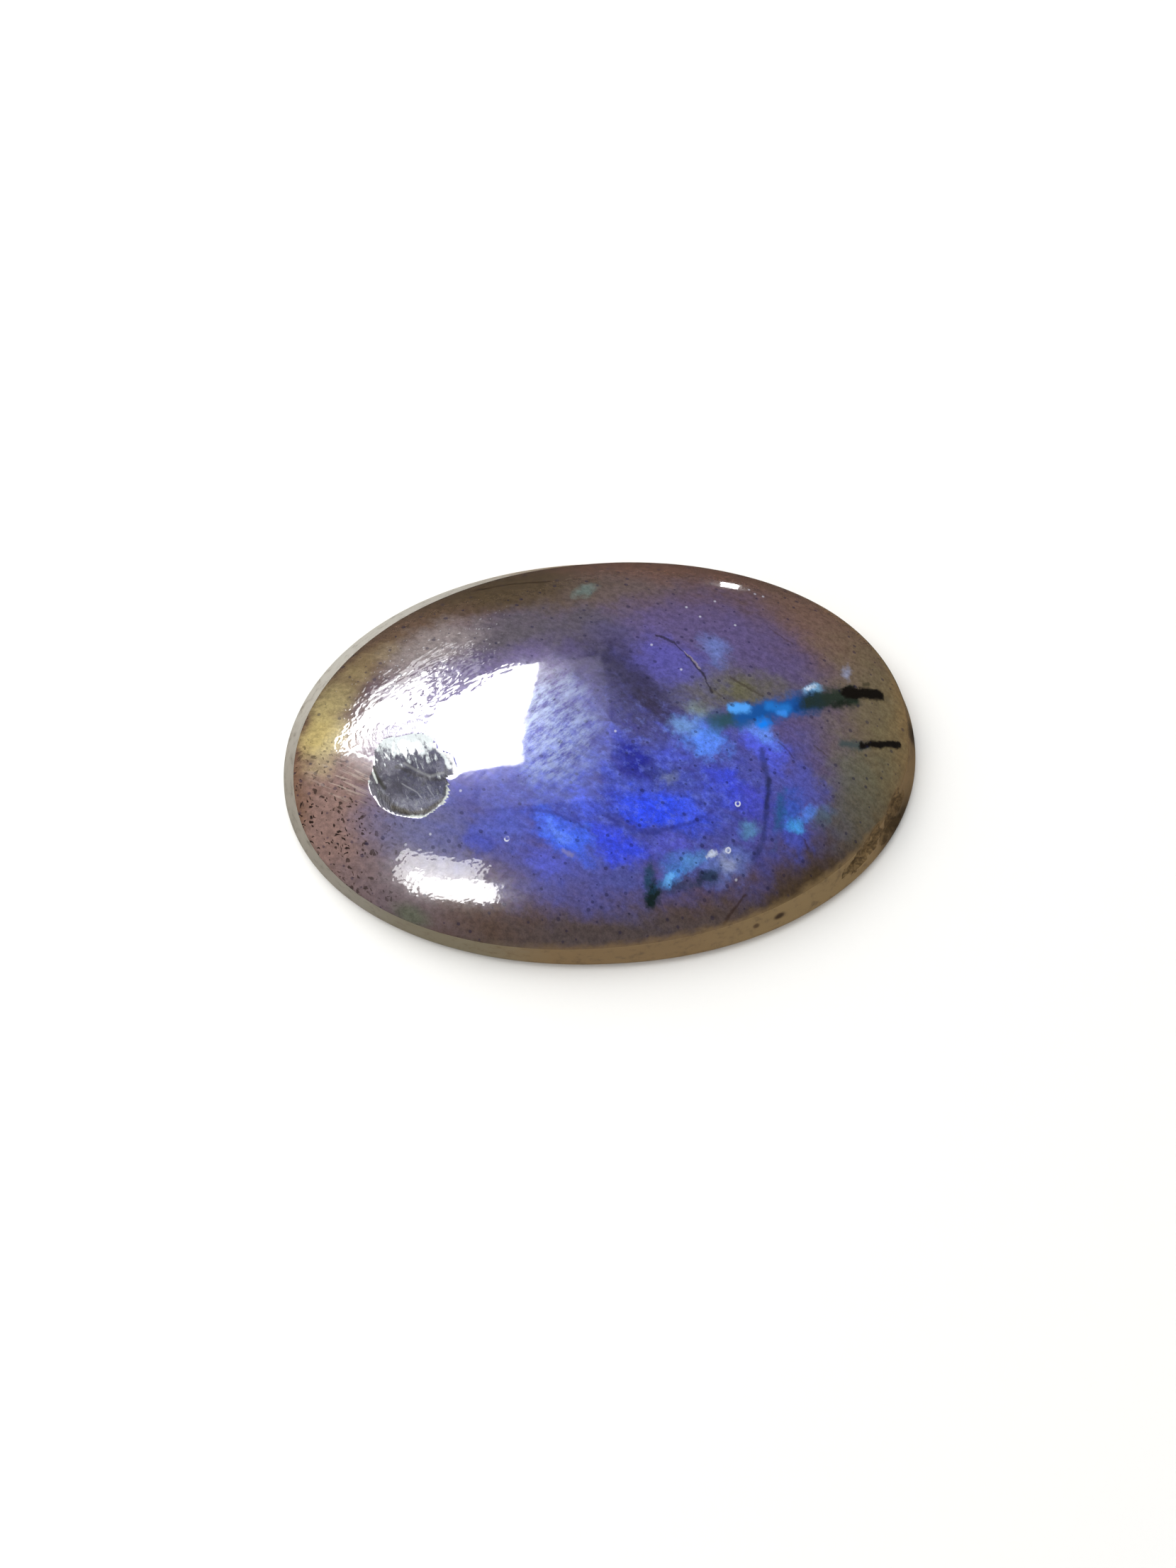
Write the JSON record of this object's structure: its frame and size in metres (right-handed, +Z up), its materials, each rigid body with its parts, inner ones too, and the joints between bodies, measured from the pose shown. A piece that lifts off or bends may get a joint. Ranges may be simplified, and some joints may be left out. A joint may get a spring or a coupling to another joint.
{
  "type": "polished labradorite cabochon",
  "caption": "Oval polished labradorite with a domed top and a flat ground back, blue and violet flash, an old chip in the dome and a ragged spot on the rim.",
  "frame": {"origin": "middle of the oval's bounding box, on the plane of the flat back", "axes": "+X along the length of the oval, +Y across it, +Z up out of the dome"},
  "size_m": [0.032, 0.0208, 0.0076],
  "materials": {
    "labradorite": "polished grey feldspar with a blue and violet flash, matt on the ground back"
  },
  "bodies": {
    "root": {"cabochon": "labradorite"}
  },
  "joints": []
}
